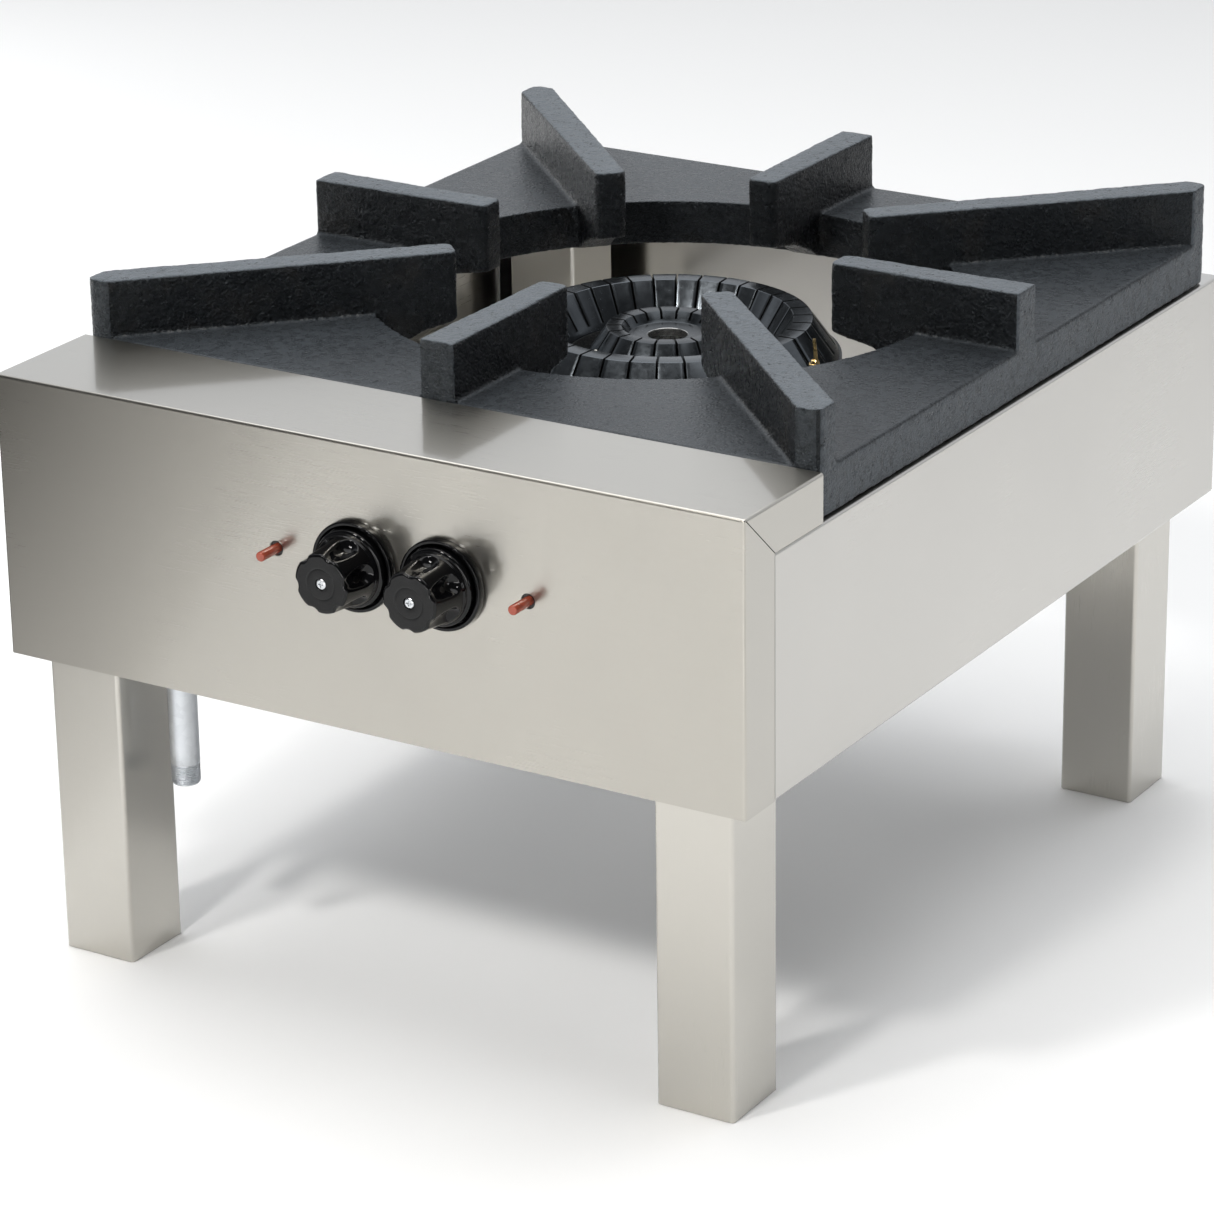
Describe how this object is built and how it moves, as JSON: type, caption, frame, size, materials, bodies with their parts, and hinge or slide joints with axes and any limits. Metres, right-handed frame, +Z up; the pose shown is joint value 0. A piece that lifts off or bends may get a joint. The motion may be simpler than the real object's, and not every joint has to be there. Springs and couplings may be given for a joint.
{
  "type": "propane burner stand",
  "caption": "Low square-legged stainless gas stock-pot stand with a finned cast-iron pan support over a double-ring slotted burner, push-and-turn gas knobs and piezo igniter buttons.",
  "frame": {"origin": "on the floor, midway between the sides and midway between the knob faces and the rear panel", "axes": "+Z up, -Y towards the control side, +X to the right of someone facing the controls"},
  "size_m": [0.6, 0.762, 0.482],
  "materials": {
    "stainless_front": "satin brushed stainless sheet, grain left to right",
    "stainless_sides": "satin brushed stainless sheet, grain front to back",
    "stainless_legs": "satin brushed stainless square tube",
    "inner_steel": "plain mild steel bars and brackets inside the body",
    "zinc_fasteners": "zinc-plated screws and bolts",
    "cast_grate": "rough sand-cast iron, dark blue-grey",
    "cast_burner": "cast burner body, near black",
    "crown_iron": "turned iron burner crowns, dark grey",
    "venturi_steel": "grey steel mixing tubes",
    "brass": "machined brass gas fittings",
    "spindle_steel": "turned steel spindles and springs",
    "galvanised_pipe": "galvanised steel gas pipe, cool light grey",
    "gas_tube_copper": "soft copper gas tube",
    "knob_black": "glossy black moulded knob with a duller end face",
    "bezel_black": "glossy black bezel ring",
    "button_red": "glossy red-brown igniter button",
    "igniter_black": "black igniter case",
    "ceramic_white": "white electrode ceramic",
    "lead_black": "black silicone ignition lead"
  },
  "bodies": {
    "stove_body": {"burner_bolts": "zinc_fasteners", "burner_casting": "cast_burner", "burner_crossbar_front": "inner_steel", "burner_crossbar_rear": "inner_steel", "flame_probe_inner": "brass", "flame_probe_outer": "brass", "front_panel": "stainless_front", "gas_inlet_pipe": "galvanised_pipe", "gas_manifold": "galvanised_pipe", "gas_tube_inner": "gas_tube_copper", "gas_tube_outer": "gas_tube_copper", "igniter_body_left": "igniter_black", "igniter_body_right": "igniter_black", "igniter_clamps": "inner_steel", "igniter_spring_left": "spindle_steel", "igniter_spring_right": "spindle_steel", "ignition_lead_inner": "lead_black", "ignition_lead_outer": "lead_black", "injectors": "brass", "knob_bezels": "bezel_black", "left_side_panel": "stainless_sides", "leg_brackets": "inner_steel", "leg_end_plates": "stainless_legs", "leg_front_left": "stainless_legs", "leg_front_right": "stainless_legs", "leg_rear_left": "stainless_legs", "leg_rear_right": "stainless_legs", "manifold_brackets": "inner_steel", "manifold_elbow": "galvanised_pipe", "manifold_plug": "galvanised_pipe", "rail_bolts": "zinc_fasteners", "rear_panel": "stainless_sides", "right_side_panel": "stainless_sides", "side_rail_left": "inner_steel", "side_rail_right": "inner_steel", "spark_electrode_inner": "ceramic_white", "spark_electrode_outer": "ceramic_white", "tube_nuts": "brass", "valve_body_left": "brass", "valve_body_right": "brass", "valve_bonnets": "brass", "venturi_inner": "venturi_steel", "venturi_outer": "venturi_steel"},
    "pan_support_body": {"pan_support": "cast_grate"},
    "outer_crown_body": {"outer_crown": "crown_iron"},
    "inner_crown_body": {"inner_crown": "crown_iron"},
    "air_shutter_outer_body": {"air_shutter_outer": "venturi_steel"},
    "air_shutter_inner_body": {"air_shutter_inner": "venturi_steel"},
    "valve_plug_left_body": {"valve_plug_left": "brass", "valve_spring_left": "spindle_steel"},
    "knob_left_body": {"knob_left": "knob_black", "knob_screw_left": "zinc_fasteners", "valve_spindle_left": "spindle_steel"},
    "igniter_button_left_body": {"igniter_button_left": "button_red"},
    "valve_plug_right_body": {"valve_plug_right": "brass", "valve_spring_right": "spindle_steel"},
    "knob_right_body": {"knob_right": "knob_black", "knob_screw_right": "zinc_fasteners", "valve_spindle_right": "spindle_steel"},
    "igniter_button_right_body": {"igniter_button_right": "button_red"}
  },
  "joints": [
    {"name": "pan_support_lift", "type": "slide", "parent": "stove_body", "child": "pan_support_body", "axis": [0, 0, 1], "range_m": [0, 0.15]},
    {"name": "outer_crown_lift", "type": "slide", "parent": "stove_body", "child": "outer_crown_body", "axis": [0, 0, 1], "range_m": [0, 0.13]},
    {"name": "inner_crown_lift", "type": "slide", "parent": "stove_body", "child": "inner_crown_body", "axis": [0, 0, 1], "range_m": [0, 0.13]},
    {"name": "air_shutter_outer_slide", "type": "slide", "parent": "stove_body", "child": "air_shutter_outer_body", "axis": [0, 1, 0], "range_m": [-0.0025, 0.005]},
    {"name": "air_shutter_inner_slide", "type": "slide", "parent": "stove_body", "child": "air_shutter_inner_body", "axis": [0, 1, 0], "range_m": [-0.0025, 0.005]},
    {"name": "knob_left_turn", "type": "hinge", "parent": "stove_body", "child": "valve_plug_left_body", "pos_m": [0, -0.339, 0.354], "axis": [0, -1, 0], "range_deg": [0, 180]},
    {"name": "knob_left_push", "type": "slide", "parent": "valve_plug_left_body", "child": "knob_left_body", "axis": [0, 1, 0], "range_m": [0, 0.003], "stiffness_N_per_m": 1500, "springref_m": -0.004, "deforming": ["valve_spring_left"]},
    {"name": "knob_right_turn", "type": "hinge", "parent": "stove_body", "child": "valve_plug_right_body", "pos_m": [0.07, -0.339, 0.354], "axis": [0, -1, 0], "range_deg": [0, 180]},
    {"name": "knob_right_push", "type": "slide", "parent": "valve_plug_right_body", "child": "knob_right_body", "axis": [0, 1, 0], "range_m": [0, 0.003], "stiffness_N_per_m": 1500, "springref_m": -0.004, "deforming": ["valve_spring_right"]},
    {"name": "igniter_left_push", "type": "slide", "parent": "stove_body", "child": "igniter_button_left_body", "axis": [0, 1, 0], "range_m": [0, 0.006], "stiffness_N_per_m": 800, "springref_m": -0.005, "deforming": ["igniter_spring_left"]},
    {"name": "igniter_right_push", "type": "slide", "parent": "stove_body", "child": "igniter_button_right_body", "axis": [0, 1, 0], "range_m": [0, 0.006], "stiffness_N_per_m": 800, "springref_m": -0.005, "deforming": ["igniter_spring_right"]}
  ]
}
